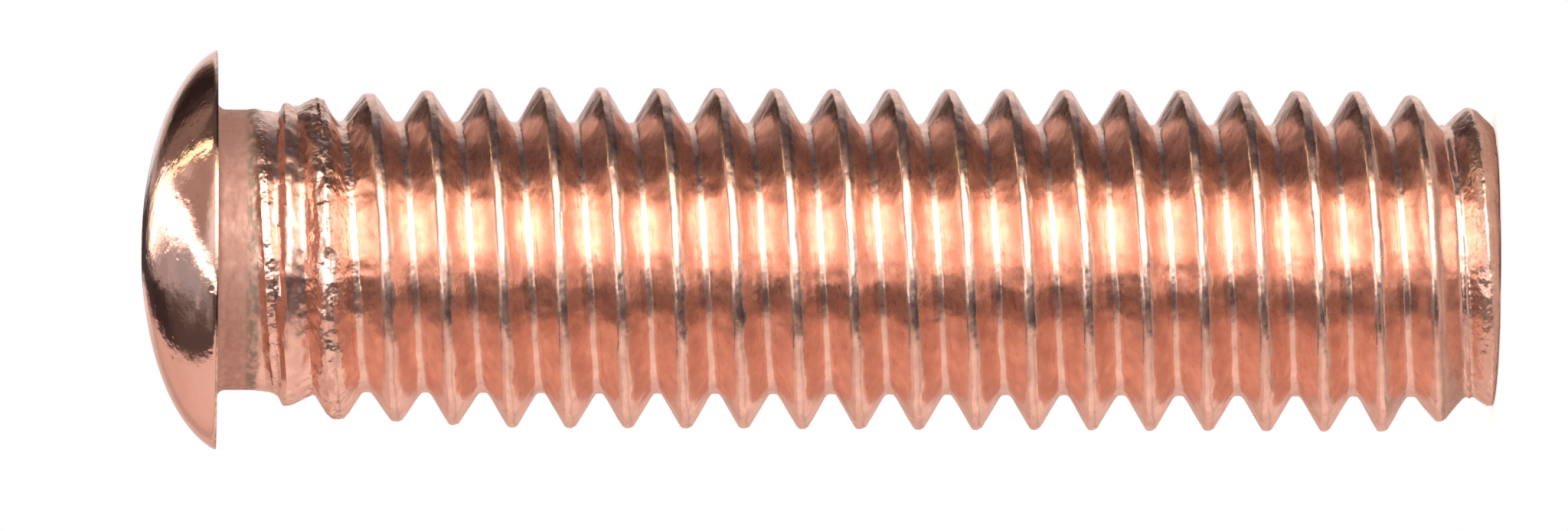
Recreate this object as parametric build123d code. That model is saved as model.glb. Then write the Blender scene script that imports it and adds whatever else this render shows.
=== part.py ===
from build123d import *
import math
import os

# A weld stud: a domed weld head, a plain neck and a rolled metric thread, all one piece.
# It stands on its flat thread end, and Z runs up its axis from there to the top of the dome.
# Lengths are in millimetres and angles in degrees.

# Thread: metric 6 x 1, right hand
thread_size = 6.0             # nominal diameter
thread_pitch = 1.0            # climb of one turn
flank_angle = 60.0            # between the two flanks of a groove
crest_allowance = 0.12        # the crests' diameter is this far under the nominal one
flank_allowance = 0.082       # the pitch diameter is this far under its basic value
flank_share = 0.5             # share of the depth that is flank; below it the groove closes bluntly
crest_start = -144.0          # where a crest meets the end face, turned about Z from X

# Shank, from the underside of the head to the flat end
shank_length = 22.0
neck_length = 1.04
neck_diameter = 4.83

# Top of the thread, where the rolling dies left it unfinished
shoulder_length = 0.12        # steep cone between the neck and the blank of the thread
blank_diameter = 5.20         # the blank, where the groove has no depth yet
groove_runout = 0.70          # length over which the groove gets its full depth
first_crest_diameter = 5.44
crest_runout = 3.6            # length over which the crests get their full height

# Point, at the free end
point_diameter = 5.10         # the crests' diameter on the end face
point_length = 1.9            # length over which the crests come down to it

# Weld head: an elliptical dome on a thin straight rim
head_diameter = 6.87
head_height = 1.30
rim_height = 0.04
dome_lean = 0.69              # the tangent at the rim leans in this far by the dome's top
dome_fullness = 0.79          # 0 is a straight cone, 1 is a parabola

# Working distances of the bodies that are joined and trimmed
bury = 0.1                    # how deep one body runs into the other
trim_clearance = 0.05         # between the full crests and the body that trims the others

# Thread form that follows from the sizes
flank_slope = math.tan(math.radians(flank_angle / 2))
sharp_height = thread_pitch / 2 / flank_slope
pitch_radius = (thread_size - 0.75 * sharp_height - flank_allowance) / 2
crest_radius = (thread_size - crest_allowance) / 2
groove_apex_radius = pitch_radius - sharp_height / 2
root_rounding = thread_pitch / 8
root_centre_radius = groove_apex_radius + root_rounding / math.sin(math.radians(flank_angle / 2))
root_radius = root_centre_radius - root_rounding
flank_foot_radius = crest_radius - flank_share * (crest_radius - root_radius)

# Heights up the axis
neck_bottom = shank_length - neck_length
thread_top = neck_bottom - shoulder_length
trim_top = thread_top + shoulder_length / 2
stud_top = shank_length + head_height


def groove_half_width(radius):
    """Half the width of the groove between its straight flanks at a radius."""
    return (radius - groove_apex_radius) * flank_slope


def tooth_corners():
    """Corners of one tooth as (radius, height above the crest's middle), from root to root."""
    half_pitch = thread_pitch / 2
    crest_edge = half_pitch - groove_half_width(crest_radius)
    flank_foot = half_pitch - groove_half_width(flank_foot_radius)
    return [
        (root_radius, -half_pitch),
        (flank_foot_radius, -flank_foot),
        (crest_radius, -crest_edge),
        (crest_radius, crest_edge),
        (flank_foot_radius, flank_foot),
        (root_radius, half_pitch),
    ]


def one_turn(radius, height):
    """One turn of a helix that starts at a height, straight out along X."""
    return Edge.make_helix(thread_pitch, thread_pitch, radius, center=(0, 0, height))


def tooth_faces(height):
    """Crest, flanks and root halves of one turn of the tooth, ruled from helix to helix."""
    edges = [one_turn(radius, height + rise) for radius, rise in tooth_corners()]
    return [Face.make_surface_from_curves(*pair) for pair in zip(edges, edges[1:])]


def cut_face(height):
    """Flat face across the tooth and the core, where the turns begin or end."""
    tooth = [(radius, 0, height + rise) for radius, rise in tooth_corners()]
    half_pitch = thread_pitch / 2
    return make_face(Polyline((0, 0, height - half_pitch), *tooth, (0, 0, height + half_pitch), close=True))


def closing_ramp(height):
    """Ramp of one turn that closes the core, ruled from the axis to the root."""
    axis = Edge.make_line((0, 0, height), (0, 0, height + thread_pitch))
    return Face.make_surface_from_curves(axis, one_turn(root_radius, height))


def thread_body():
    """Full thread as one body, a little longer than the shank's thread at both ends."""
    bottom = -thread_pitch
    turns = math.ceil(trim_top / thread_pitch) + 2
    top = bottom + turns * thread_pitch
    faces = [cut_face(bottom), cut_face(top)]
    faces += [closing_ramp(bottom - thread_pitch / 2), closing_ramp(top - thread_pitch / 2)]
    for turn in range(turns):
        faces += tooth_faces(bottom + turn * thread_pitch)
    return Rot(0, 0, crest_start) * Solid(Shell(faces))


def turned_body(*outline):
    """Body of revolution about Z from a closed half outline of (radius, height) corners."""
    return revolve(Plane.XZ * make_face(Polyline(*outline, close=True)), Axis.Z)


def thread_envelope():
    """Body that trims the thread to its flat end, falling crests and low first crests."""
    trim_radius = crest_radius + trim_clearance
    tip = (point_diameter / 2, 0)
    point_top = (trim_radius, point_length)
    full_crest = (trim_radius, thread_top - crest_runout)
    first_crest = (first_crest_diameter / 2, thread_top)
    neck_edge = (neck_diameter / 2 - bury, trim_top)
    return turned_body((0, 0), tip, point_top, full_crest, first_crest, neck_edge, (0, trim_top))


def run_out_and_neck():
    """Cone that fills the beginning of the groove, the shoulder above it and the neck."""
    foot = (root_radius - bury, thread_top - groove_runout)
    blank = (blank_diameter / 2, thread_top)
    neck_foot = (neck_diameter / 2, neck_bottom)
    neck_head = (neck_diameter / 2, shank_length + rim_height)
    return turned_body((0, foot[1]), foot, blank, neck_foot, neck_head, (0, neck_head[1]))


def weld_head():
    """Flat underside, straight rim and elliptical dome."""
    rim_radius = head_diameter / 2
    rim_top = (rim_radius, shank_length + rim_height)
    dome_shoulder = (rim_radius - dome_lean, stud_top)
    dome_top = (0, stud_top)
    outline = Polyline(dome_top, (0, shank_length), (rim_radius, shank_length), rim_top)
    outline += Bezier(rim_top, dome_shoulder, dome_top, weights=[1, dome_fullness, 1])
    return revolve(Plane.XZ * make_face(outline), Axis.Z)


def weld_stud():
    """The whole stud as one solid."""
    thread = thread_body() & thread_envelope()
    return thread + run_out_and_neck() + weld_head()


os.makedirs("parts", exist_ok=True)
export_step(weld_stud(), "parts/weld_stud.step")
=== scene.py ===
"""Dresses the copper-plated weld stud: its rolled thread, its neck and its domed weld head.

Sizes are in millimetres and become metres where the meshes are made. The stud stands on its flat
thread end, and Z runs up its axis to the top of the dome.
"""
import logging
import math
from dataclasses import dataclass, field
from enum import Enum

import bmesh
import bpy
from mathutils import Matrix, Vector


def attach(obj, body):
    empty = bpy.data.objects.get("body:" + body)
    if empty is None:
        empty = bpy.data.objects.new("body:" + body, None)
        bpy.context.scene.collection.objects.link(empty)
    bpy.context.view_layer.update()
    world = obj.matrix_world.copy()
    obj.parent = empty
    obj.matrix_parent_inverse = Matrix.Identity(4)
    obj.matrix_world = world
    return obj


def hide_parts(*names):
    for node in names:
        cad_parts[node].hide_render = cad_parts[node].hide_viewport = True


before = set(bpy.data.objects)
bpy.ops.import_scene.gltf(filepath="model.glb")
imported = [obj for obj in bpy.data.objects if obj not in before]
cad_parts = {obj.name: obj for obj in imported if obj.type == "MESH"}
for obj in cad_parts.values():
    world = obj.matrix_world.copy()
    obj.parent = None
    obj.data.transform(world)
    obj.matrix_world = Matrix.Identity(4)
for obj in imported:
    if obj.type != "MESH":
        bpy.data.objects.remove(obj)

LOG = logging.getLogger("weld_stud")
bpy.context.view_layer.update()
MM = 0.001
NODE = "weld_stud"
BODY = "root"
SEAM_SHADE_MARK = "crest_seam_shade"
RAGGED_MARK = "ragged_start"
NOISE_MIDDLE = 0.5
NOISE_SPREAD = 3.0
Tree = bpy.types.NodeTree
Socket = bpy.types.NodeSocket
Colour = tuple[float, float, float]
Pair = tuple[float, float]


class Formula:
    """A number that varies over a surface, built from Math nodes by plain arithmetic."""

    def __init__(self, tree: Tree, socket: Socket) -> None:
        """Wraps an output socket.

        Args:
            tree: The node tree that the socket belongs to.
            socket: The output that gives the number.
        """
        self.tree = tree
        self.socket = socket

    def math(self, operation: str, *others: "Formula | float", clamp: bool = False) -> "Formula":
        """Adds one Math node.

        Args:
            operation: The node's operation, such as "MULTIPLY".
            others: The second and third inputs, as formulas or plain numbers.
            clamp: True to hold the result between 0 and 1.

        Returns:
            The node's result.
        """
        node = self.tree.nodes.new("ShaderNodeMath")
        node.operation = operation
        node.use_clamp = clamp
        self.tree.links.new(self.socket, node.inputs[0])
        for place, other in enumerate(others, start=1):
            join(self.tree, other, node.inputs[place])
        return Formula(self.tree, node.outputs[0])

    def __add__(self, other: "Formula | float") -> "Formula":
        """Sum."""
        return self.math("ADD", other)

    def __sub__(self, other: "Formula | float") -> "Formula":
        """Difference."""
        return self.math("SUBTRACT", other)

    def __mul__(self, other: "Formula | float") -> "Formula":
        """Product."""
        return self.math("MULTIPLY", other)

    def __truediv__(self, other: "Formula | float") -> "Formula":
        """Quotient."""
        return self.math("DIVIDE", other)

    def __abs__(self) -> "Formula":
        """Size without its sign."""
        return self.math("ABSOLUTE")

    def least(self, other: "Formula | float", blend: float = 0.0) -> "Formula":
        """Lower of two numbers, rounded over where they meet if blend isn't 0."""
        return self.math("SMOOTH_MIN", other, blend) if blend else self.math("MINIMUM", other)

    def most(self, other: "Formula | float", blend: float = 0.0) -> "Formula":
        """Higher of two numbers, rounded over where they meet if blend isn't 0."""
        return self.math("SMOOTH_MAX", other, blend) if blend else self.math("MAXIMUM", other)

    def ramp(self, low: "Formula | float", high: "Formula | float", start: "Formula | float" = 0.0,
             end: "Formula | float" = 1.0, smooth: bool = False) -> "Formula":
        """Runs from one value to another while this number runs between two limits.

        Args:
            low: Limit where the result is start.
            high: Limit where the result is end.
            start: Result at and below the low limit.
            end: Result at and above the high limit.
            smooth: True to ease in and out.

        Returns:
            The result, held between start and end.
        """
        node = self.tree.nodes.new("ShaderNodeMapRange")
        node.interpolation_type = "SMOOTHSTEP" if smooth else "LINEAR"
        node.clamp = True
        self.tree.links.new(self.socket, node.inputs["Value"])
        named = {"From Min": low, "From Max": high, "To Min": start, "To Max": end}
        for name, value in named.items():
            join(self.tree, value, node.inputs[name])
        return Formula(self.tree, node.outputs["Result"])


def join(tree: Tree, source: "Formula | Socket | float | tuple",
         target: Socket) -> None:
    """Feeds an input from a formula or a socket, or sets it to a plain value.

    Args:
        tree: The tree that holds the input.
        source: What feeds it.
        target: The input.
    """
    if isinstance(source, Formula):
        tree.links.new(source.socket, target)
    elif isinstance(source, Socket):
        tree.links.new(source, target)
    else:
        target.default_value = source


def mix_colours(tree: Tree, first: "Socket | tuple", second: tuple,
                share: Formula) -> Socket:
    """Colour between two colours.

    Args:
        tree: The tree that the node goes into.
        first: Colour where the share is 0.
        second: Colour where the share is 1.
        share: How much of the second colour shows.

    Returns:
        The mixed colour.
    """
    node = tree.nodes.new("ShaderNodeMix")
    node.data_type = "RGBA"
    join(tree, share, node.inputs["Factor"])
    for colour, target in ((first, node.inputs["A"]), (second, node.inputs["B"])):
        join(tree, (*colour, 1.0) if isinstance(colour, tuple) else colour, target)
    return node.outputs["Result"]


def point_of(tree: Tree, *parts: Formula) -> Socket:
    """Makes a vector of three formulas.

    Args:
        tree: The tree that the node goes into.
        parts: The vector's three parts.

    Returns:
        The vector.
    """
    node = tree.nodes.new("ShaderNodeCombineXYZ")
    for part, target in zip(parts, node.inputs):
        join(tree, part, target)
    return node.outputs[0]


Values = dict[str, Formula]


@dataclass(frozen=True)
class Fade:
    """A run from one value to another while a number runs between two limits."""

    low: float
    high: float
    start: float = 0.0
    end: float = 1.0
    smooth: bool = False

    def of(self, number: Formula) -> Formula:
        """Value of the run at a number."""
        return number.ramp(self.low, self.high, self.start, self.end, smooth=self.smooth)


@dataclass(frozen=True)
class Ripple:
    """Random variation: its waves to the millimetre, its finer layers and its shift off the other ripples."""

    scale: float
    detail: float
    shift: float


@dataclass
class ThreadForm:
    """Sizes of the rolled thread, and of the shank that it runs out on."""

    pitch: float = 1.0
    crest_radius: float = 2.94
    apex_radius: float = 2.2014
    flank_angle: float = 60.0
    root_radius: float = 2.335
    root_rounding: float = 0.10
    crest_rounding: float = 0.10
    crest_height: float = 0.40
    thread_top: float = 20.84
    neck_bottom: float = 20.96
    neck_radius: float = 2.415
    seam_height: float = 21.50
    offset_start: float = 20.30
    head_offset: float = 0.11
    point_radius: float = 2.56
    point_length: float = 1.75
    runout_length: float = 3.9
    runout_radius: float = 2.775
    first_length: float = 0.65
    first_radius: float = 2.50
    blank_radius: float = 2.60
    groove_start: float = 0.08
    groove_runout: float = 0.80
    groove_floor: float = 2.22
    floor_blend: float = 0.05
    point_blend: float = 0.03


@dataclass
class ThreadWear:
    """How uneven the rolling left the thread."""

    seed: float = 3.0
    ragged: Ripple = Ripple(2.6, 3.0, 0.0)
    wander: Ripple = Ripple(1.7, 3.0, 11.0)
    rolled: Ripple = Ripple(0.9, 2.0, 23.0)
    rough: Ripple = Ripple(3.8, 3.0, 37.0)
    waviness: float = 0.006
    crest_ragged: float = 0.020
    crest_wander: float = 0.028
    seam_depth: float = 0.034
    seam_evenness: float = 0.75
    seam_width: float = 0.030
    seam_place: float = -0.062
    seam_wander: float = 0.02
    seam_from_end: Fade = Fade(0.1, 0.5)
    seam_from_top: Fade = Fade(0.3, 0.9)
    seam_shade_mark: Pair = (0.5, 0.8)
    first_turn: Fade = Fade(0.75, 1.6, 1.0, 0.0, smooth=True)
    first_edge: Fade = Fade(0.25, 0.55, 0.15, 1.0)
    first_ragged: float = 0.10
    first_wander: float = 0.05
    first_flat: float = 2.76
    flat_run: Pair = (0.45, 1.5)
    floor_ragged: float = 0.05
    fold_height: float = 0.035
    fold_width: float = 0.06
    fold_wander: float = 0.03
    fold_evenness: float = 0.9
    fold_from_end: Fade = Fade(0.06, 0.14)
    fold_stop: Fade = Fade(0.80, 1.10, 1.0, 0.0)
    ghost_crest: float = 0.045
    ghost_edge: Fade = Fade(0.07, 0.13, 1.0, 0.0, smooth=True)
    ghost_swing: Pair = (0.6, 0.8)
    neck_ragged: float = 0.016
    neck_settled: float = 0.3
    end_ragged: Fade = Fade(0.30, 0.95, 0.8, 0.0, smooth=True)


@dataclass
class ThreadMesh:
    """How finely the thread is divided."""

    around: int = 180
    along: int = 20
    crest_share: float = 0.40
    flank_share: float = 0.32
    crest_zone: float = 0.095
    root_zone: float = 0.10
    end_rounding: float = 0.03
    end_extent: float = 0.6
    merge_distance: float = 0.0004


@dataclass
class ThreadedShank:
    """The threaded shank, grown by a Geometry Nodes tree as one helical sheet that closes on the flat end."""

    form: ThreadForm = field(default_factory=ThreadForm)
    wear: ThreadWear = field(default_factory=ThreadWear)
    grid: ThreadMesh = field(default_factory=ThreadMesh)

    def build(self, material: bpy.types.Material) -> bpy.types.Mesh:
        """Makes the plain mesh of the shank.

        Args:
            material: Finish that the tree sets on every face.

        Returns:
            The mesh, open only at the circle where the neck goes on.
        """
        tree = self.node_tree()
        carrier = bpy.data.objects.new("shank_rule", bpy.data.meshes.new("shank_rule"))
        bpy.context.scene.collection.objects.link(carrier)
        modifier = carrier.modifiers.new("rolled_thread", "NODES")
        modifier.node_group = tree
        values = self.inputs()
        values["Finish"] = material
        for item in tree.interface.items_tree:
            if item.item_type == "SOCKET" and item.in_out == "INPUT" and item.name in values:
                modifier[item.identifier] = values[item.name]
        graph = bpy.context.evaluated_depsgraph_get()
        mesh = bpy.data.meshes.new_from_object(carrier.evaluated_get(graph))
        carrier.modifiers.remove(modifier)
        bpy.data.objects.remove(carrier)
        return mesh

    def inputs(self) -> dict[str, object]:
        """Lists the tree's inputs.

        Returns:
            The value of each input, by name.
        """
        form, wear, grid = self.form, self.wear, self.grid
        turns = math.ceil((form.seam_height - self.start_height()) / form.pitch)
        return {
            "Turns": turns,
            "Steps Around": grid.around,
            "Steps per Turn": grid.along,
            "Pitch": form.pitch,
            "Start Height": self.start_height(),
            "Crest Radius": form.crest_radius,
            "Apex Radius": form.apex_radius,
            "Root Radius": form.root_radius,
            "Root Rounding": form.root_rounding,
            "Thread Top": form.thread_top,
            "Seam Height": form.seam_height,
            "Seed": wear.seed,
            "Waviness": wear.waviness,
            "Crest Raggedness": wear.crest_ragged,
            "Seam Depth": wear.seam_depth,
        }

    def start_height(self) -> float:
        """Height of the first crest of the sheet, far enough under the flat end to close it."""
        below = math.ceil(1 + (self.grid.end_extent + self.form.crest_height) / self.form.pitch)
        return self.form.crest_height - below * self.form.pitch

    def node_tree(self) -> Tree:
        """Builds the tree that rolls a flat grid up into the thread.

        Returns:
            The Geometry Nodes tree, with named inputs for its sizes.
        """
        tree = bpy.data.node_groups.new("rolled_thread", "GeometryNodeTree")
        tree.interface.new_socket("Geometry", in_out="INPUT", socket_type="NodeSocketGeometry")
        for name, value in self.inputs().items():
            kind = "NodeSocketInt" if isinstance(value, int) else "NodeSocketFloat"
            tree.interface.new_socket(name, in_out="INPUT", socket_type=kind).default_value = value
        tree.interface.new_socket("Finish", in_out="INPUT", socket_type="NodeSocketMaterial")
        tree.interface.new_socket("Geometry", in_out="OUTPUT", socket_type="NodeSocketGeometry")
        given = tree.nodes.new("NodeGroupInput")
        value = {name: Formula(tree, given.outputs[name]) for name in self.inputs()}

        grid = tree.nodes.new("GeometryNodeMeshGrid")
        grid.inputs["Size X"].default_value = 1.0
        grid.inputs["Size Y"].default_value = 1.0
        join(tree, value["Steps Around"] + 1.0, grid.inputs["Vertices X"])
        join(tree, value["Turns"] * value["Steps per Turn"] + 1.0, grid.inputs["Vertices Y"])
        place = tree.nodes.new("GeometryNodeInputPosition")
        marks = {}
        split = tree.nodes.new("ShaderNodeSeparateXYZ")
        tree.links.new(place.outputs[0], split.inputs[0])
        share_round = Formula(tree, split.outputs["X"]) + 0.5
        turn = (Formula(tree, split.outputs["Y"]) + 0.5) * value["Turns"]

        rolled = tree.nodes.new("GeometryNodeSetPosition")
        noted = grid.outputs["Mesh"]
        tree.links.new(self.rolled_position(tree, value, share_round, turn, marks), rolled.inputs["Position"])
        for name, mark in marks.items():
            store = tree.nodes.new("GeometryNodeStoreNamedAttribute")
            store.inputs["Name"].default_value = name
            tree.links.new(noted, store.inputs["Geometry"])
            join(tree, mark, store.inputs["Value"])
            noted = store.outputs["Geometry"]
        tree.links.new(noted, rolled.inputs["Geometry"])
        merged = tree.nodes.new("GeometryNodeMergeByDistance")
        merged.inputs["Distance"].default_value = self.grid.merge_distance * MM
        smooth = tree.nodes.new("GeometryNodeSetShadeSmooth")
        real = tree.nodes.new("GeometryNodeRealizeInstances")
        dressed = tree.nodes.new("GeometryNodeSetMaterial")
        tree.links.new(given.outputs["Finish"], dressed.inputs["Material"])
        chain = [rolled, merged, smooth, real, dressed, tree.nodes.new("NodeGroupOutput")]
        for earlier, later in zip(chain, chain[1:]):
            tree.links.new(earlier.outputs[0], later.inputs[0])
        return tree

    def rolled_position(self, tree: Tree, value: Values, share_round: Formula,
                        turn: Formula, marks: Values) -> Socket:
        """Place of a grid point on the finished shank.

        Args:
            tree: The tree that the nodes go into.
            value: The tree's inputs, by name.
            share_round: How far round the axis the point is, from 0 to 1.
            turn: Which turn the point is on, whole numbers being crests.
            marks: Takes the masks that the finish needs, by attribute name.

        Returns:
            The position, in metres.
        """
        pitch = value["Pitch"]
        spread = self.spread_rows(turn)
        unrolled = value["Start Height"] + (spread + share_round) * pitch
        angle = share_round * math.tau
        rounding = self.grid.end_rounding
        lifted = (unrolled + (unrolled * unrolled + rounding ** 2).math("SQRT")) * 0.5
        height = lifted.least(value["Seam Height"])
        inward = ((lifted - unrolled) / self.grid.end_extent).least(1.0)
        wrapped = (height - value["Start Height"]) / pitch - share_round
        radius = self.radius(tree, value, height, angle, wrapped, marks)
        radius = radius * (inward * -1.0 + 1.0)
        lean = height.ramp(self.form.offset_start, self.form.seam_height, smooth=True)
        set_off = lean * self.form.head_offset
        across = (radius * angle.math("COSINE") + set_off) * MM
        aside = radius * angle.math("SINE") * MM
        return point_of(tree, across, aside, height * MM)

    def spread_rows(self, turn: Formula) -> Formula:
        """Shifts the evenly spaced rows so that most lie on the crests and in the roots.

        Args:
            turn: Which turn a row is on, whole numbers being crests.

        Returns:
            The turn that the row moves to.
        """
        grid = self.grid
        crest = (turn + 0.5).math("FLOOR")
        offset = turn - crest
        side = offset.math("SIGN")
        away = abs(offset)
        crest_end = grid.crest_share / 2
        flank_end = crest_end + grid.flank_share / 2
        on_crest = away.ramp(0.0, crest_end, 0.0, grid.crest_zone)
        on_flank = away.ramp(crest_end, flank_end, 0.0, 0.5 - grid.root_zone - grid.crest_zone)
        in_root = away.ramp(flank_end, 0.5, 0.0, grid.root_zone)
        return crest + (on_crest + on_flank + in_root) * side

    def radius(self, tree: Tree, value: Values, height: Formula, angle: Formula,
               wrapped: Formula, marks: Values) -> Formula:
        """Distance of the surface from the axis.

        Args:
            tree: The tree that the nodes go into.
            value: The tree's inputs, by name.
            height: Height of the point.
            angle: Angle of the point about the axis.
            wrapped: Turns climbed since the first crest, so that crests are whole numbers.
            marks: Takes the masks that the finish needs, by attribute name.

        Returns:
            The radius in millimetres.
        """
        form, wear = self.form, self.wear
        around = point_of(tree, angle.math("COSINE") * form.crest_radius,
                          angle.math("SINE") * form.crest_radius, height)
        ragged = self.noise(tree, value, around, wear.ragged)
        wander = self.noise(tree, value, around, wear.wander)
        rolled = self.noise(tree, value, around, wear.rolled)
        rough = self.noise(tree, value, around, wear.rough)
        depth_down = value["Thread Top"] - height
        near_neck = wear.first_turn.of(depth_down) * wear.first_edge.of(depth_down)

        shifted = wrapped + wander * wear.crest_wander + rough * near_neck * wear.first_wander
        offset = shifted - (shifted + 0.5).math("FLOOR")
        from_crest = abs(offset) * value["Pitch"]
        from_root = value["Pitch"] * 0.5 - from_crest
        slope = math.tan(math.radians(form.flank_angle / 2))
        flank = value["Apex Radius"] + from_root / slope
        groove = flank.most(value["Root Radius"], value["Root Rounding"])

        from_seam = abs(offset * value["Pitch"] + wander * wear.seam_wander - wear.seam_place)
        seam = from_seam.ramp(0.0, wear.seam_width, 1.0, 0.0)
        even_crest = depth_down.ramp(*wear.flat_run, wear.first_flat, value["Crest Radius"])
        crest = even_crest + ragged * wear.crest_ragged + rough * near_neck * wear.first_ragged
        crest = crest - seam * (value["Seam Depth"] * (ragged + wear.seam_evenness))
        on_thread = wear.seam_from_end.of(height) * wear.seam_from_top.of(depth_down)
        # Mask for the painted shade that darkens the crest's crease in the finish.
        marks[SEAM_SHADE_MARK] = seam * on_thread * self.swing(ragged, wear.seam_shade_mark)
        full = groove.least(crest, form.crest_rounding)
        rolled_out = self.crest_line(value, height, depth_down) - value["Root Radius"]
        surface = (full - value["Root Radius"]) * (rolled_out / (even_crest - form.root_radius))
        surface = surface + value["Root Radius"]
        floor = depth_down.ramp(form.groove_start, form.groove_runout, form.blank_radius, form.groove_floor)
        surface = surface.most(floor + rough * wear.floor_ragged, form.floor_blend)
        fold = abs(from_root + wander * wear.fold_wander).ramp(0.0, wear.fold_width, 1.0, 0.0)
        near_end = wear.fold_from_end.of(height) * wear.fold_stop.of(height)
        surface = surface + fold * near_end * (ragged + wear.fold_evenness) * wear.fold_height

        on_neck = depth_down.ramp(form.thread_top - form.neck_bottom, 0.0, 1.0, 0.0, smooth=True)
        surface = surface + (surface * -1.0 + form.neck_radius) * on_neck
        settled = height.ramp(form.neck_bottom + wear.neck_settled, form.seam_height, 1.0, 0.0)
        ghost = wear.ghost_edge.of(from_crest) * on_neck * settled
        surface = surface + ghost * self.swing(ragged, wear.ghost_swing) * wear.ghost_crest
        surface = surface + rough * on_neck * settled * wear.neck_ragged
        marks[RAGGED_MARK] = near_neck + ghost + wear.end_ragged.of(height)
        return surface + rolled * value["Waviness"] * settled

    def swing(self, ripple: Formula, amounts: Pair) -> Formula:
        """Variation by the first amount, up and down, about the second."""
        return ripple * amounts[0] + amounts[1]

    def crest_line(self, value: Values, height: Formula, depth_down: Formula) -> Formula:
        """Radius of the crests, low at the point and where the rolling ran out.

        Args:
            value: The tree's inputs, by name.
            height: Height of the point.
            depth_down: How far the point lies under the thread's top.

        Returns:
            The crests' radius at that height.
        """
        form = self.form
        point = height.ramp(0.0, form.point_length, form.point_radius, value["Crest Radius"])
        first = depth_down.ramp(0.0, form.first_length, form.first_radius, form.runout_radius)
        rest = form.crest_radius - form.runout_radius
        later = depth_down.ramp(form.first_length, form.runout_length, 0.0, rest)
        return point.least(first + later, form.point_blend)

    def noise(self, tree: Tree, value: Values, around: Socket,
              ripple: Ripple) -> Formula:
        """Random variation between about -1 and 1.

        Args:
            tree: The tree that the nodes go into.
            value: The tree's inputs, by name.
            around: Place that the variation is read at.
            ripple: How fine the variation is.

        Returns:
            The variation.
        """
        node = tree.nodes.new("ShaderNodeTexNoise")
        node.noise_dimensions = "4D"
        tree.links.new(around, node.inputs["Vector"])
        join(tree, value["Seed"] + ripple.shift, node.inputs["W"])
        node.inputs["Scale"].default_value = ripple.scale
        node.inputs["Detail"].default_value = ripple.detail
        spread = Formula(tree, node.outputs[0])
        return (spread - NOISE_MIDDLE) * NOISE_SPREAD


@dataclass
class WeldHead:
    """The plain neck and the domed head on it, turned as one profile."""

    neck_radius: float = 2.415
    neck_start: float = 21.50
    underside: float = 22.0
    offset: float = 0.11
    corner_rounding: float = 0.16
    rim_radius: float = 3.435
    rim_height: float = 0.04
    top: float = 23.3
    dome_half_width: float = 3.55
    dome_half_height: float = 1.715
    around: int = 180
    neck_steps: int = 4
    corner_steps: int = 8
    underside_shares: tuple[float, ...] = (0.25, 0.5, 0.75, 0.97, 1.0)
    dome_steps: int = 44

    def profile(self) -> list[Pair]:
        """Lists the rings, from the neck to the last one under the dome's top.

        Returns:
            Radius and height of each ring.
        """
        rings = []
        neck_end = self.underside - self.corner_rounding
        for step in range(self.neck_steps + 1):
            share = step / self.neck_steps
            rings.append((self.neck_radius, self.neck_start + share * (neck_end - self.neck_start)))
        for step in range(1, self.corner_steps + 1):
            turn = math.radians(90 * step / self.corner_steps)
            rings.append((self.neck_radius + self.corner_rounding * (1 - math.cos(turn)),
                          neck_end + self.corner_rounding * math.sin(turn)))
        inner = self.neck_radius + self.corner_rounding
        for share in self.underside_shares:
            rings.append((inner + share * (self.rim_radius - inner), self.underside))
        rings += self.dome_rings()
        return rings

    def dome_rings(self) -> list[Pair]:
        """Lists the rings of the elliptical dome, from the rim inwards.

        Returns:
            Radius and height of each ring.
        """
        start = math.asin(self.rim_radius / self.dome_half_width)
        base = self.underside + self.rim_height
        lowest = self.dome_half_height * math.cos(start)
        scale = (self.top - base) / (self.dome_half_height - lowest)
        rings = []
        for step in range(self.dome_steps):
            lean = start * (1 - step / self.dome_steps)
            rise = (self.dome_half_height * math.cos(lean) - lowest) * scale
            rings.append((self.dome_half_width * math.sin(lean), base + rise))
        return rings

    def build(self, material: bpy.types.Material) -> bpy.types.Mesh:
        """Makes the mesh of the neck and the head.

        Args:
            material: Finish of every face.

        Returns:
            The mesh, open only at the circle where it meets the shank.
        """
        shape = bmesh.new()
        previous = None
        for radius, height in self.profile():
            ring = [shape.verts.new(self.ring_point(radius, height, place)) for place in range(self.around)]
            if previous:
                self.bridge(shape, previous, ring)
            previous = ring
        top = shape.verts.new(Vector((self.offset, 0.0, self.top)) * MM)
        for place in range(self.around):
            shape.faces.new((previous[place], previous[(place + 1) % self.around], top))
        mesh = bpy.data.meshes.new("weld_head")
        shape.to_mesh(mesh)
        shape.free()
        mesh.materials.append(material)
        mesh.shade_smooth()
        return mesh

    def ring_point(self, radius: float, height: float, place: int) -> Vector:
        """Point number place of a ring, in metres."""
        angle = math.tau * place / self.around
        return Vector((self.offset + radius * math.cos(angle), radius * math.sin(angle), height)) * MM

    def bridge(self, shape: bmesh.types.BMesh, lower: list[bmesh.types.BMVert],
               upper: list[bmesh.types.BMVert]) -> None:
        """Joins two rings with a band of faces.

        Args:
            shape: The mesh that is being built.
            lower: Points of the first ring.
            upper: Points of the next ring, in the same order.
        """
        for place in range(self.around):
            after = (place + 1) % self.around
            shape.faces.new((lower[place], lower[after], upper[after], upper[place]))


class Zone(Enum):
    """Parts of the stud that carry a finish of their own."""

    SHANK = 0
    HEAD = 1
    END = 2


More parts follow.
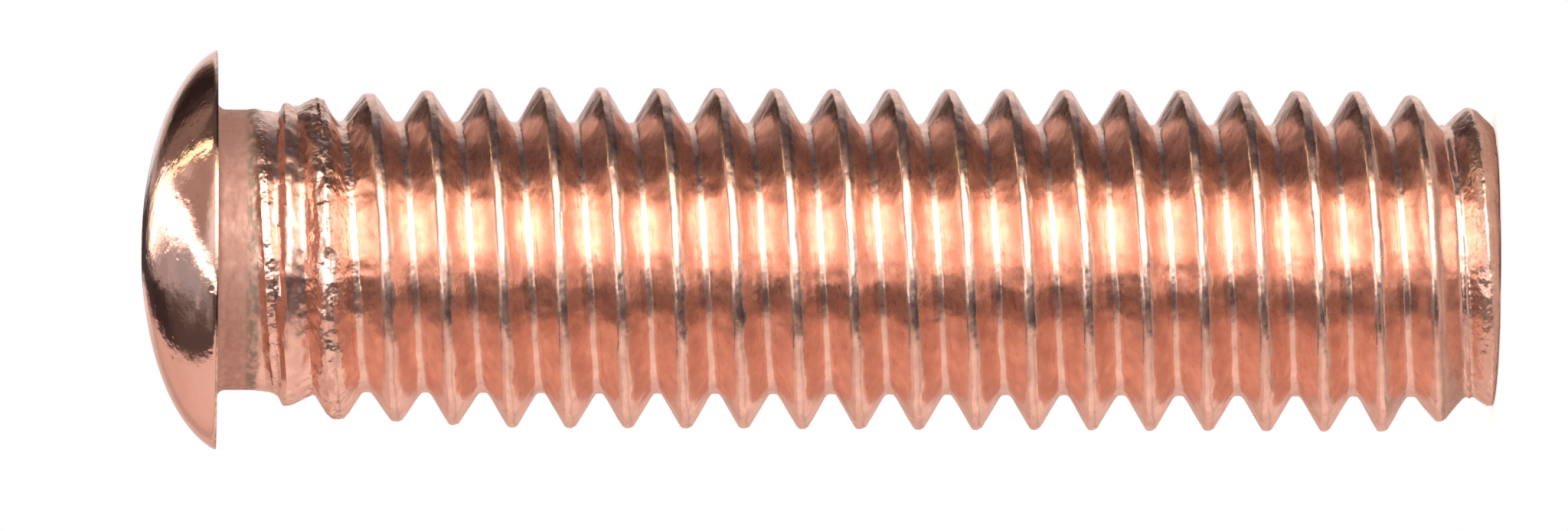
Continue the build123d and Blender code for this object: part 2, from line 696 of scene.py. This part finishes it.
@dataclass
class WeldStud:
    """The whole stud: shank and head sewn into one closed surface."""

    shank: ThreadedShank = field(default_factory=ThreadedShank)
    head: WeldHead = field(default_factory=WeldHead)
    sew_distance: float = 0.001
    sliver_size: float = 0.0002
    sharp_angle: float = 55.0
    end_height: float = 0.05
    end_lean: float = -0.7
    head_above: float = 0.01

    def build(self) -> bpy.types.Object:
        """Builds the stud's one piece and puts it in place of the CAD solid.

        Returns:
            The piece.
        """
        finishes = self.finishes()
        shape = bmesh.new()
        for mesh in (self.shank.build(finishes[Zone.SHANK]), self.head.build(finishes[Zone.HEAD])):
            shape.from_mesh(mesh)
            bpy.data.meshes.remove(mesh)
        bmesh.ops.remove_doubles(shape, verts=shape.verts, dist=self.sew_distance * MM)
        bmesh.ops.dissolve_degenerate(shape, dist=self.sliver_size * MM, edges=shape.edges)
        bmesh.ops.recalc_face_normals(shape, faces=shape.faces)
        open_edges = sum(1 for edge in shape.edges if not edge.is_manifold)
        for face in shape.faces:
            face.material_index = self.zone(face).value
        mesh = bpy.data.meshes.new("stud_surface")
        shape.to_mesh(mesh)
        shape.free()
        for zone in Zone:
            mesh.materials.append(finishes[zone])
        mesh.shade_smooth()
        mesh.set_sharp_from_angle(angle=math.radians(self.sharp_angle))
        piece = bpy.data.objects.new("stud_surface", mesh)
        bpy.context.scene.collection.objects.link(piece)
        LOG.info("stud_surface: %d edges not closed", open_edges)
        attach(piece, BODY)
        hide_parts(NODE)
        return piece

    def finishes(self) -> dict[Zone, bpy.types.Material]:
        """Makes the finish of each zone.

        Returns:
            The material of each zone.
        """
        groups = ShaderGroups()
        finishes = {
            # The shank's neck under the head is painted a duller, darker copper: partly its rougher metal,
            # partly painted shade where the head hangs over it.
            Zone.SHANK: PlatedFinish("shank_plate", tarnish=(0.50, 0.25, 0.245), smooth=0.19, rough=0.36,
                                     tarnish_share=0.42, fleck_share=0.25, cloud_scale=2.6, grain_scale=6.0,
                                     stretch=1.6, bump=0.0016, wave=0.018, ragged=0.06, seam_shade_share=0.4,
                                     dull_and_shade_from=(21.28, 21.50), dirt_and_shade=(21.28, 21.48), dirt_and_shade_soft=0.11),
            # On the head the same ring is painted shade: a thin dark line round the rim, where the dome meets
            # its underside.
            Zone.HEAD: PlatedFinish("head_plate", tarnish_share=0.25, smooth=0.05, rough=0.13,
                                    cloud_scale=1.4, grain_scale=7.0, bump=0.0017, wave_scale=1.6,
                                    wave=0.010, edge_tint=(0.84, 0.70, 0.65), dirt_and_shade=(21.90, 22.035),
                                    dirt_and_shade_soft=0.012),
            Zone.END: PlatedFinish("cut_end_plate", smooth=0.25, rough=0.45, bump=0.004),
        }
        return {zone: finish.make(groups) for zone, finish in finishes.items()}

    def zone(self, face: bmesh.types.BMFace) -> Zone:
        """Zone that a face belongs to.

        Args:
            face: A face of the sewn surface.

        Returns:
            The zone, told by the face's height and the way it looks.
        """
        height = face.calc_center_median().z / MM
        if height < self.end_height and face.normal.z < self.end_lean:
            return Zone.END
        if height > self.head.underside + self.head_above:
            return Zone.HEAD
        return Zone.SHANK


class ShaderGroups:
    """The effects that the stud's finishes share, each built once as a shader node group."""

    NOISE_RANGE = (0.3, 0.7)
    RING_WANDER = 0.6
    GRAIN_TO_DIRT_AND_SHADE = Fade(0.25, 0.75, 0.10, 0.75)

    def __init__(self) -> None:
        """Builds every group."""
        self.place = self.place_on_stud()
        self.plating = self.uneven_plating()
        self.dirt_and_shade = self.dirt_and_shade_ring()

    def place_on_stud(self) -> Tree:
        """Builds the group that tells where on the stud a point is, in millimetres.

        Returns:
            The group.
        """
        tree = self.group("place_on_stud", {}, {"Place": "NodeSocketVector", "Height": "NodeSocketFloat"})
        coordinates = tree.nodes.new("ShaderNodeTexCoord")
        mapping = tree.nodes.new("ShaderNodeMapping")
        mapping.inputs["Scale"].default_value = (1 / MM, 1 / MM, 1 / MM)
        tree.links.new(coordinates.outputs["Object"], mapping.inputs["Vector"])
        split = tree.nodes.new("ShaderNodeSeparateXYZ")
        tree.links.new(mapping.outputs[0], split.inputs[0])
        result = tree.nodes.new("NodeGroupOutput")
        tree.links.new(mapping.outputs[0], result.inputs["Place"])
        tree.links.new(split.outputs["Z"], result.inputs["Height"])
        return tree

    def uneven_plating(self) -> Tree:
        """Builds the group for uneven plating: a cloudy tone, fine grain, dark pits and slow waves.

        Returns:
            The group.
        """
        tree = self.group(
            "uneven_plating",
            {"Place": (0.0, 0.0, 0.0), "Stretch": (1.0, 1.0, 1.0), "Cloud Scale": 1.2, "Grain Scale": 14.0,
             "Wave Scale": 2.5, "Pit Scale": 3.0, "Pit Share": 0.2},
            {name: "NodeSocketFloat" for name in ("Cloud", "Grain", "Wave", "Pits")})
        given = tree.nodes.new("NodeGroupInput")
        result = tree.nodes.new("NodeGroupOutput")
        stretched = tree.nodes.new("ShaderNodeMapping")
        tree.links.new(given.outputs["Stretch"], stretched.inputs["Scale"])
        tree.links.new(given.outputs["Place"], stretched.inputs["Vector"])
        usual, whole = self.NOISE_RANGE, (0.0, 1.0)
        for name, detail, limits in (("Cloud", 3.0, usual), ("Grain", 4.0, usual), ("Wave", 2.0, whole)):
            noise = tree.nodes.new("ShaderNodeTexNoise")
            tree.links.new(stretched.outputs[0], noise.inputs["Vector"])
            tree.links.new(given.outputs[f"{name} Scale"], noise.inputs["Scale"])
            noise.inputs["Detail"].default_value = detail
            join(tree, Formula(tree, noise.outputs[0]).ramp(*limits), result.inputs[name])
        cells = tree.nodes.new("ShaderNodeTexVoronoi")
        tree.links.new(stretched.outputs[0], cells.inputs["Vector"])
        tree.links.new(given.outputs["Pit Scale"], cells.inputs["Scale"])
        from_pit = Formula(tree, cells.outputs["Distance"])
        reach = Formula(tree, given.outputs["Pit Share"])
        join(tree, from_pit.ramp(reach * 0.5, reach, 1.0, 0.0), result.inputs["Pits"])
        return tree

    def dirt_and_shade_ring(self) -> Tree:
        """Builds the group that masks a ring round the stud: dirt on the shank, and painted shade in a thin
        dark line round the head's rim.

        Returns:
            The group.
        """
        inputs = {"Height": 0.0, "Grain": 0.5, "Low": 0.0, "High": 1.0, "Softness": 0.1}
        tree = self.group("dirt_and_shade_ring", inputs, {"Dirt And Shade": "NodeSocketFloat"})
        given = tree.nodes.new("NodeGroupInput")
        value = {name: Formula(tree, given.outputs[name]) for name in inputs}
        height = value["Height"] + value["Grain"] * value["Softness"] * self.RING_WANDER
        band = height.ramp(value["Low"], value["Low"] + value["Softness"], smooth=True)
        band = band * height.ramp(value["High"], value["High"] + value["Softness"], 1.0, 0.0, smooth=True)
        dirt_and_shade = band * self.GRAIN_TO_DIRT_AND_SHADE.of(value["Grain"])
        join(tree, dirt_and_shade, tree.nodes.new("NodeGroupOutput").inputs["Dirt And Shade"])
        return tree

    def group(self, name: str, inputs: dict[str, object], outputs: dict[str, str]) -> Tree:
        """Starts a shader node group.

        Args:
            name: The group's name.
            inputs: Starting value of each input, three numbers standing for a vector.
            outputs: Kind of each output.

        Returns:
            The group, with its sockets and nothing in it.
        """
        tree = bpy.data.node_groups.new(name, "ShaderNodeTree")
        for label, value in inputs.items():
            kind = "NodeSocketVector" if isinstance(value, tuple) else "NodeSocketFloat"
            tree.interface.new_socket(label, in_out="INPUT", socket_type=kind).default_value = value
        for label, kind in outputs.items():
            tree.interface.new_socket(label, in_out="OUTPUT", socket_type=kind)
        return tree


@dataclass(frozen=True)
class PlatedFinish:
    """Copper plating as it looks on one zone of the stud."""

    name: str
    copper: Colour = (0.93, 0.62, 0.53)
    tarnish: Colour = (0.62, 0.36, 0.27)
    tarnish_share: float = 0.25
    pit_tarnish: float = 0.25
    fleck: Colour = (0.92, 0.58, 0.30)
    fleck_share: float = 0.0
    # Colour of the ring band: dirt on the shank, painted shade round the head's rim.
    stain_and_shade: Colour = (0.30, 0.27, 0.20)
    smooth: float = 0.12
    rough: float = 0.28
    rough_by_cloud: float = 0.6
    cloud_scale: float = 1.2
    grain_scale: float = 14.0
    stretch: float = 1.0
    bump: float = 0.0015
    wave_scale: float = 2.5
    wave: float = 0.0
    ragged: float = 0.0
    speckle_scale: float = 4.2
    edge_tint: Colour = (0.93, 0.82, 0.78)
    # Neck under the head: a duller, darker colour that is partly rougher metal and partly painted shade from
    # the head above it.
    dull_and_shade: Colour = (0.58, 0.36, 0.30)
    dull_rough: float = 0.62
    dull_and_shade_from: Pair = (0.0, 0.0)
    dull_and_shade_wander: float = 0.10
    dull_and_shade_share: Pair = (0.35, 0.6)
    # Where the ring band lies: dirt on the shank, painted shade round the head's rim.
    dirt_and_shade: Pair = (0.0, 0.0)
    dirt_and_shade_soft: float = 0.10
    # Painted shade: a near-black colour that darkens the crease along each crest.
    seam: Colour = (0.10, 0.085, 0.06)
    seam_shade_share: float = 0.0

    def make(self, groups: ShaderGroups) -> bpy.types.Material:
        """Builds the material.

        Args:
            groups: The node groups that the finishes share.

        Returns:
            The material.
        """
        material = bpy.data.materials.new(self.name)
        material.use_nodes = True
        tree = material.node_tree
        shader = tree.nodes["Principled BSDF"]
        shader.inputs["Metallic"].default_value = 1.0
        shader.inputs["Specular Tint"].default_value = (*self.edge_tint, 1.0)
        where = self.insert(tree, groups.place)
        uneven = self.insert(tree, groups.plating)
        uneven.inputs["Cloud Scale"].default_value = self.cloud_scale
        uneven.inputs["Grain Scale"].default_value = self.grain_scale
        uneven.inputs["Wave Scale"].default_value = self.wave_scale
        uneven.inputs["Stretch"].default_value = (1.0, 1.0, self.stretch)
        tree.links.new(where.outputs["Place"], uneven.inputs["Place"])
        cloud = Formula(tree, uneven.outputs["Cloud"])
        grain = Formula(tree, uneven.outputs["Grain"])
        pits = Formula(tree, uneven.outputs["Pits"])
        tarnished = cloud * self.tarnish_share + pits * self.pit_tarnish
        colour = mix_colours(tree, self.copper, self.tarnish, tarnished)
        if self.fleck_share:
            colour = mix_colours(tree, colour, self.fleck, grain * self.fleck_share)
        # Painted shade in the crease along each crest, where the rolling folded it.
        if self.seam_shade_share:
            painted_seam_shade = (self.mark(tree, SEAM_SHADE_MARK) * self.seam_shade_share).least(1.0)
            colour = mix_colours(tree, colour, self.seam, painted_seam_shade)
        spread = self.rough - self.smooth
        roughness = cloud * (spread * self.rough_by_cloud) + grain * (spread * (1.0 - self.rough_by_cloud))
        roughness = roughness + self.smooth
        # Paints the neck under the head rougher and darker: the darker colour is partly duller metal, partly
        # painted shade from the head.
        if self.dull_and_shade_from[1]:
            height = Formula(tree, where.outputs["Height"]) + cloud * self.dull_and_shade_wander
            dull_and_shade = height.ramp(*self.dull_and_shade_from, smooth=True)
            by_grain, least_share = self.dull_and_shade_share
            colour = mix_colours(tree, colour, self.dull_and_shade, dull_and_shade * (grain * by_grain + least_share))
            roughness = roughness + dull_and_shade * (self.dull_rough - self.smooth)
        # Darkens the ring band: dirt on the shank, painted shade in a thin line round the head's rim.
        if self.dirt_and_shade[1]:
            ring = self.insert(tree, groups.dirt_and_shade)
            tree.links.new(where.outputs["Height"], ring.inputs["Height"])
            join(tree, grain, ring.inputs["Grain"])
            ring.inputs["Low"].default_value = self.dirt_and_shade[0]
            ring.inputs["High"].default_value = self.dirt_and_shade[1]
            ring.inputs["Softness"].default_value = self.dirt_and_shade_soft
            colour = mix_colours(tree, colour, self.stain_and_shade, Formula(tree, ring.outputs["Dirt And Shade"]))
        tree.links.new(colour, shader.inputs["Base Color"])
        join(tree, roughness, shader.inputs["Roughness"])
        bump = tree.nodes.new("ShaderNodeBump")
        bump.inputs["Distance"].default_value = MM
        bump.inputs["Strength"].default_value = 1.0
        height = (grain - pits) * self.bump + Formula(tree, uneven.outputs["Wave"]) * self.wave
        if self.ragged:
            speckle = tree.nodes.new("ShaderNodeTexNoise")
            speckle.inputs["Scale"].default_value = self.speckle_scale
            speckle.inputs["Detail"].default_value = 2.0
            tree.links.new(where.outputs["Place"], speckle.inputs["Vector"])
            height = height + Formula(tree, speckle.outputs[0]) * self.mark(tree, RAGGED_MARK) * self.ragged
        join(tree, height, bump.inputs["Height"])
        tree.links.new(bump.outputs[0], shader.inputs["Normal"])
        return material

    def insert(self, tree: Tree, group: Tree) -> bpy.types.Node:
        """Puts a node group into the material's tree.

        Args:
            tree: The material's tree.
            group: The group.

        Returns:
            The node that holds the group.
        """
        node = tree.nodes.new("ShaderNodeGroup")
        node.node_tree = group
        return node

    def mark(self, tree: Tree, name: str) -> Formula:
        """Reads a mask that the thread's tree left on the surface.

        Args:
            tree: The material's tree.
            name: Name of the mask's attribute.

        Returns:
            The mask.
        """
        node = tree.nodes.new("ShaderNodeAttribute")
        node.attribute_name = name
        return Formula(tree, node.outputs["Fac"])


@dataclass(frozen=True)
class SkyBand:
    """One strip of the light tent, running from the camera's side over the stud to behind it.

    Its edges are given by the slant: 0 straight at the camera, 1 straight up, -1 straight down and
    large values behind. The band may lean, so that its slant differs between front and back.
    """

    colour: Colour
    strength: float
    low: float = -90.0
    high: float = 90.0
    low_soft: float = 0.05
    high_soft: float = 0.05
    front_lean: float = 0.0
    lean_from: float = -1.0
    by_rise: bool = False
    mottled: bool = False
    head_side: Pair = (-3.0, -2.0)
    stud_side: Pair = (2.0, 3.0)
    back_side: Pair = (2.0, 3.0)

    def share(self, slant: Formula, rise: Formula, before: Formula, headward: Formula,
              patches: Formula) -> Formula:
        """How much of the band a direction sees.

        Args:
            slant: Slant of the direction.
            rise: How far the direction points up.
            before: How far the direction points to the camera's side.
            headward: How far the direction points along the axis to the head end.
            patches: Uneven pattern, from 0 to 1, that breaks a mottled band up.

        Returns:
            1 inside the band, 0 outside and values between on its soft edges.
        """
        straight = (rise if self.by_rise else slant) - (before - self.lean_from).most(0.0) * self.front_lean
        above = Fade(self.low - self.low_soft, self.low + self.low_soft, smooth=True)
        below = Fade(self.high - self.high_soft, self.high + self.high_soft, 1.0, 0.0, smooth=True)
        share = above.of(straight) * below.of(straight)
        if self.mottled:
            share = share * patches
        share = share * headward.ramp(*self.head_side, smooth=True)
        share = share * headward.ramp(*self.stud_side, 1.0, 0.0, smooth=True)
        return share * before.ramp(*self.back_side, 1.0, 0.0, smooth=True)


@dataclass
class Sky:
    """Light tent round the stud: a soft box in front, a strip above, pale paper and dark gaps."""

    gap: Colour = (0.045, 0.033, 0.048)
    nearest: float = 0.01
    patch_slant: float = 3.0
    patch_scale: tuple[float, float, float] = (7.0, 4.0, 5.0)
    patch_edge: Fade = Fade(0.42, 0.66, smooth=True)
    bands: tuple[SkyBand, ...] = (
        SkyBand((0.93, 0.97, 1.0), 1.10, low=1.95, low_soft=0.95, stud_side=(0.25, 0.50)),
        SkyBand((1.0, 0.80, 0.72), 0.98, high=-0.46, high_soft=0.08, stud_side=(0.20, 0.40)),
        SkyBand((1.0, 0.80, 0.74), 1.08, high=-1.05, high_soft=0.30, stud_side=(0.20, 0.40)),
        SkyBand((1.0, 0.80, 0.74), 0.84, high=-2.10, high_soft=0.50, stud_side=(0.20, 0.40)),
        SkyBand((1.0, 0.76, 0.68), 0.10, head_side=(0.20, 0.40)),
        SkyBand((1.0, 0.74, 0.66), 0.86, high=-0.955, high_soft=0.03, front_lean=0.33,
                head_side=(0.20, 0.40)),
        SkyBand((1.0, 0.85, 0.71), 1.12, low=-0.03, high=0.445, low_soft=0.10, high_soft=0.09),
        SkyBand((0.96, 0.96, 0.95), 1.04, low=-0.05, high=0.19, low_soft=0.17, high_soft=0.12),
        SkyBand((1.0, 0.68, 0.24), 0.96, low=0.34, high=0.55, low_soft=0.08, high_soft=0.07, mottled=True),
        SkyBand((1.0, 0.70, 0.60), 0.44, low=0.0, high=0.60, low_soft=0.08, high_soft=0.08,
                head_side=(0.35, 0.60), back_side=(0.15, 0.45)),
        SkyBand((0.92, 0.90, 0.95), 0.46, low=-0.28, high=0.0, low_soft=0.12, high_soft=0.08,
                head_side=(0.35, 0.60), back_side=(0.15, 0.45)),
        SkyBand((1.0, 0.86, 0.78), 0.78, low=0.40, high=0.60, low_soft=0.08, high_soft=0.06, mottled=True,
                head_side=(0.30, 0.50), back_side=(0.15, 0.45)),
        SkyBand((0.96, 0.88, 0.84), 0.56, low=-0.38, high=-0.05, low_soft=0.14, high_soft=0.08, mottled=True,
                head_side=(0.30, 0.50), back_side=(0.15, 0.45)),
        SkyBand((1.0, 0.72, 0.40), 1.10, low=0.42, high=0.545, low_soft=0.07, high_soft=0.08,
                head_side=(-0.75, -0.45), stud_side=(0.35, 0.70)),
        SkyBand((1.0, 0.97, 0.93), 3.6, low=-0.02, high=0.47, low_soft=0.13, high_soft=0.15,
                head_side=(-0.85, -0.45), stud_side=(0.35, 0.70)),
        SkyBand((1.0, 0.97, 0.93), 2.8, low=0.03, high=0.155, low_soft=0.035, high_soft=0.045,
                front_lean=-0.36, lean_from=-0.3, by_rise=True, head_side=(0.22, 0.40)),
        SkyBand((1.0, 0.74, 0.64), 0.26, low=0.80, low_soft=0.10, head_side=(0.20, 0.45),
                back_side=(-0.32, -0.22)),
        SkyBand((1.0, 0.76, 0.76), 0.03, low=1.10, low_soft=0.20, head_side=(0.20, 0.45)),
        SkyBand((1.0, 0.74, 0.64), 0.26, low=0.70, high=1.25, low_soft=0.06, high_soft=0.30, mottled=True,
                head_side=(0.20, 0.45), back_side=(-0.32, -0.22)),
        SkyBand((1.0, 0.96, 0.94), 1.00, low=3.9, low_soft=0.55, head_side=(0.25, 0.50)),
        SkyBand((1.0, 0.86, 0.56), 3.1, low=0.595, high=0.665, low_soft=0.02, high_soft=0.02,
                head_side=(0.25, 0.45), back_side=(-0.02, 0.06)),
        SkyBand((1.0, 0.80, 0.85), 0.05, low=-0.86, high=-0.30, low_soft=0.04, head_side=(0.0, 0.08),
                back_side=(-0.80, -0.62)),
        SkyBand((1.0, 0.80, 0.80), 0.07, low=-0.86, high=0.90, low_soft=0.04, head_side=(0.0, 0.08),
                back_side=(-0.95, -0.88)),
    )

    def build(self) -> None:
        """Makes the world and gives it the tent's light."""
        world = bpy.data.worlds.new("light_tent")
        bpy.context.scene.world = world
        world.use_nodes = True
        tree = world.node_tree
        coordinates = tree.nodes.new("ShaderNodeTexCoord")
        split = tree.nodes.new("ShaderNodeSeparateXYZ")
        tree.links.new(coordinates.outputs["Generated"], split.inputs[0])
        before = Formula(tree, split.outputs["Y"]) * -1.0
        rise = Formula(tree, split.outputs["X"])
        slant = rise / (before + 1.0).most(self.nearest)
        headward = Formula(tree, split.outputs["Z"])
        streaks = tree.nodes.new("ShaderNodeTexNoise")
        streaks.inputs["Scale"].default_value = 1.0
        streaks.inputs["Detail"].default_value = 3.0
        parts = (slant.least(self.patch_slant), before, headward)
        towards = point_of(tree, *(part * scale for part, scale in zip(parts, self.patch_scale)))
        tree.links.new(towards, streaks.inputs["Vector"])
        patches = self.patch_edge.of(Formula(tree, streaks.outputs[0]))
        background = tree.nodes["Background"]
        light = self.gap
        for band in self.bands:
            glow = tuple(part * band.strength for part in band.colour)
            light = mix_colours(tree, light, glow, band.share(slant, rise, before, headward, patches))
        tree.links.new(light, background.inputs["Color"])
        plain = tree.nodes.new("ShaderNodeBackground")
        plain.inputs["Color"].default_value = (1.0, 1.0, 1.0, 1.0)
        path = tree.nodes.new("ShaderNodeLightPath")
        seen = tree.nodes.new("ShaderNodeMixShader")
        tree.links.new(path.outputs["Is Camera Ray"], seen.inputs[0])
        tree.links.new(background.outputs[0], seen.inputs[1])
        tree.links.new(plain.outputs[0], seen.inputs[2])
        tree.links.new(seen.outputs[0], tree.nodes["World Output"].inputs["Surface"])


@dataclass
class Studio:
    """The pale floor, the light round the stud and the camera."""

    view_width: float = 27.008
    view_centre_height: float = 12.23
    view_drop: float = 0.119
    roll: float = 0.26
    yaw: float = 1.8
    distance: float = 420.0
    sensor_width: float = 36.0
    nearest: float = 0.01
    farthest: float = 10.0
    floor_radius: float = 5.0
    floor_sides: int = 96
    floor_colour: Colour = (0.82, 0.80, 0.79)
    floor_glow: float = 0.6

    def build(self) -> bpy.types.Object:
        """Sets the floor, the light and the camera.

        Returns:
            The floor.
        """
        floor = self.floor()
        Sky().build()
        self.camera()
        bpy.context.scene.view_settings.view_transform = "Standard"
        return floor

    def floor(self) -> bpy.types.Object:
        """Makes the pale round floor that the stud stands on.

        Returns:
            The floor.
        """
        shape = bmesh.new()
        radius = self.floor_radius * MM
        bmesh.ops.create_circle(shape, cap_ends=True, segments=self.floor_sides, radius=radius)
        mesh = bpy.data.meshes.new("pale_floor")
        shape.to_mesh(mesh)
        shape.free()
        paint = bpy.data.materials.new("pale_floor")
        paint.use_nodes = True
        shader = paint.node_tree.nodes["Principled BSDF"]
        shader.inputs["Base Color"].default_value = (*self.floor_colour, 1.0)
        shader.inputs["Emission Color"].default_value = (1.0, 1.0, 1.0, 1.0)
        path = paint.node_tree.nodes.new("ShaderNodeLightPath")
        glow = Formula(paint.node_tree, path.outputs["Is Camera Ray"]) * self.floor_glow
        join(paint.node_tree, glow, shader.inputs["Emission Strength"])
        mesh.materials.append(paint)
        floor = bpy.data.objects.new("pale_floor", mesh)
        bpy.context.scene.collection.objects.link(floor)
        return floor

    def camera(self) -> None:
        """Long lens that looks along Y with the stud's top to the left."""
        lens = bpy.data.cameras.new("camera")
        lens.sensor_width = self.sensor_width
        lens.lens = lens.sensor_width * self.distance / self.view_width
        lens.clip_start = self.nearest
        lens.clip_end = self.farthest
        camera = bpy.data.objects.new("camera", lens)
        yaw = math.radians(self.yaw)
        right = Vector((0, -math.sin(yaw), -math.cos(yaw)))
        back = Vector((0, -math.cos(yaw), math.sin(yaw)))
        turned = Matrix((right, Vector((1, 0, 0)), back)).transposed()
        turned = turned @ Matrix.Rotation(math.radians(self.roll), 3, "Z")
        aim = Vector((-self.view_drop, 0, self.view_centre_height))
        camera.matrix_world = Matrix.Translation((aim + back * self.distance) * MM) @ turned.to_4x4()
        bpy.context.scene.collection.objects.link(camera)
        bpy.context.scene.camera = camera


def main() -> None:
    """Builds every piece in order and notes the sizes."""
    logging.basicConfig(level=logging.INFO, format="%(name)s: %(message)s")
    for piece in (WeldStud().build(), Studio().build()):
        LOG.info("%s: %d faces", piece.name, len(piece.data.polygons))


if __name__ == "__main__":
    main()
